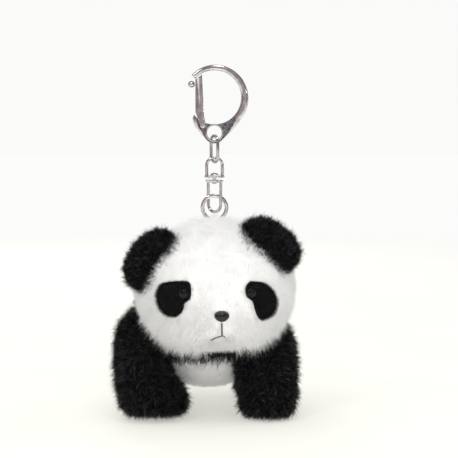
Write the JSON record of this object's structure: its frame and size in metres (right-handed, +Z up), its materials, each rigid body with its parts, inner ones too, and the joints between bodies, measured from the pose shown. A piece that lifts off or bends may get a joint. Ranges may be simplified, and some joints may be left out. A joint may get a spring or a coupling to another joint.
{
  "type": "plush keychain",
  "caption": "Plush panda keychain: a lever snap hook, chain link, swivel and split ring carry a small sewn panda with long black and white pile standing on its legs.",
  "frame": {"origin": "the point inside the top of the snap hook's eye where a bag's loop or a finger bears on it", "axes": "+Z up, the chain and the panda hang straight below the origin; -Y is the way the panda faces; +X is the panda's own left"},
  "size_m": [0.0803, 0.1065, 0.1555],
  "materials": {
    "nickel": "bright nickel plate, fine handling marks",
    "spring_steel": "drawn spring wire",
    "white_pile": "long white plush pile",
    "black_pile": "long black plush pile",
    "black_felt": "short black felt pile",
    "black_gloss": "polished black plastic",
    "nose_gloss": "glossy dark brown-grey plastic",
    "washer_plastic": "moulded, hidden inside the head",
    "white_ribbon": "woven satin ribbon",
    "brown_thread": "embroidery thread",
    "fibre_fill": "polyester fibre fill"
  },
  "bodies": {
    "clasp": {"clasp_body": "nickel", "gate_pin": "nickel", "gate_spring": "spring_steel"},
    "gate": {"clasp_gate": "nickel", "thumb_ball": "nickel"},
    "link": {"chain_link": "nickel"},
    "upper_bow": {"swivel_upper_bow": "nickel"},
    "lower_bow": {"swivel_lower_bow": "nickel", "swivel_rivet": "nickel"},
    "ring": {"split_ring": "nickel"},
    "plush": {"body_stuffing": "fibre_fill", "ear_left": "black_pile", "ear_right": "black_pile", "eye_left": "black_gloss", "eye_left_washer": "washer_plastic", "eye_patch_left": "black_felt", "eye_patch_right": "black_felt", "eye_right": "black_gloss", "eye_right_washer": "washer_plastic", "front_leg_left_cover": "black_pile", "front_leg_left_stuffing": "fibre_fill", "front_leg_right_cover": "black_pile", "front_leg_right_stuffing": "fibre_fill", "hanger_ribbon": "white_ribbon", "head_cover": "white_pile", "head_stuffing": "fibre_fill", "hind_leg_left_cover": "black_pile", "hind_leg_left_stuffing": "fibre_fill", "hind_leg_right_cover": "black_pile", "hind_leg_right_stuffing": "fibre_fill", "mouth_thread": "brown_thread", "nose": "nose_gloss", "nose_washer": "washer_plastic", "shoulder_cover": "black_pile", "tail": "white_pile", "torso_cover": "white_pile"}
  },
  "joints": [
    {"name": "gate_hinge", "type": "hinge", "parent": "clasp", "child": "gate", "pos_m": [-0.0051, 0, -0.0242], "axis": [0, 1, 0], "range_deg": [0, 25], "stiffness_Nm_per_rad": 0.01, "springref_deg": -17.19, "deforming": ["gate_spring"]},
    {"name": "link_swing", "type": "hinge", "parent": "clasp", "child": "link", "pos_m": [0, 0, -0.0314], "axis": [1, 0, 0], "range_deg": [-60, 60]},
    {"name": "bow_swing", "type": "hinge", "parent": "link", "child": "upper_bow", "pos_m": [0, 0, -0.04045], "axis": [0, 1, 0], "range_deg": [-45, 45]},
    {"name": "swivel_spin", "type": "hinge", "parent": "upper_bow", "child": "lower_bow", "pos_m": [0, 0, -0.04885], "axis": [0, 0, 1], "continuous": true},
    {"name": "ring_slack", "type": "slide", "parent": "lower_bow", "child": "ring", "axis": [0, 0, 1], "range_m": [-0.0042, 0]},
    {"name": "plush_swing", "type": "hinge", "parent": "ring", "child": "plush", "pos_m": [0, 0, -0.06605], "axis": [1, 0, 0], "range_deg": [-60, 60]}
  ]
}
